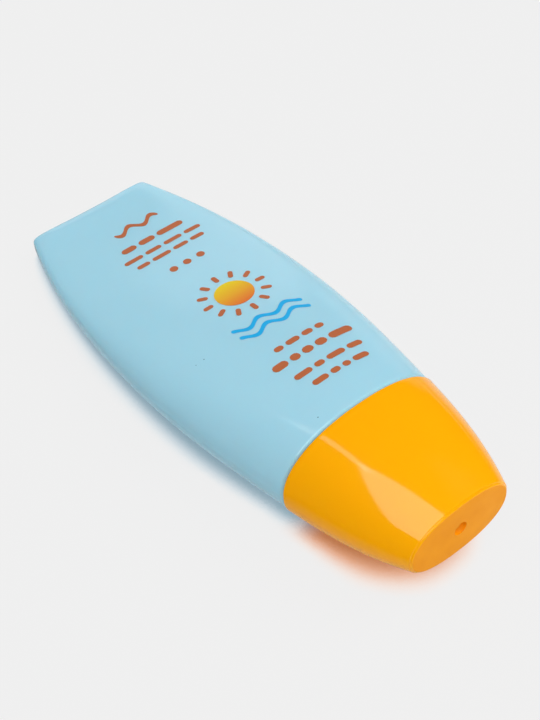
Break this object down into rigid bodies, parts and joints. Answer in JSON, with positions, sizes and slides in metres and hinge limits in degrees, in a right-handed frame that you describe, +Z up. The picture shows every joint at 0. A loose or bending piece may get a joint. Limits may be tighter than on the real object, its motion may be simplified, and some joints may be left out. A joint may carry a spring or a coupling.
{
  "type": "sunscreen bottle",
  "caption": "Flat oval squeeze bottle with an oval screw cap, lying on its back; a spout plug in the neck doses the lotion.",
  "frame": {"origin": "on the surface that the bottle lies on, under the middle of its length and width", "axes": "+X from the base to the cap, tilted up by the rest tilt of 6.05 degrees; +Y across the width; +Z up, out of the front face"},
  "size_m": [0.1216, 0.0468, 0.0251],
  "materials": {
    "bottle_blue": "semi-gloss blown polyethylene",
    "natural_plastic": "natural polyethylene, satin",
    "liner_foam": "closed-cell foam, matt",
    "white_plastic": "white polypropylene, satin",
    "cap_orange": "glossy polypropylene"
  },
  "bodies": {
    "bottle": {"bottle_shell": "bottle_blue", "nozzle_plug": "natural_plastic"},
    "washer": {"cap_liner": "liner_foam"},
    "cap": {"inner_cap": "white_plastic", "outer_cap": "cap_orange"}
  },
  "joints": [
    {"name": "cap_lift", "type": "slide", "parent": "bottle", "child": "washer", "axis": [0.9944, 0, 0.1054], "range_m": [0, 0.02]},
    {"name": "cap_turn", "type": "hinge", "parent": "washer", "child": "cap", "pos_m": [0.03351, 0, 0.01247], "axis": [0.9944, 0, 0.1054], "range_deg": [0, 1800]}
  ],
  "couplings": [
    {"joint": "cap_lift", "follows": "cap_turn", "m_per_rad": 0.00063662}
  ]
}
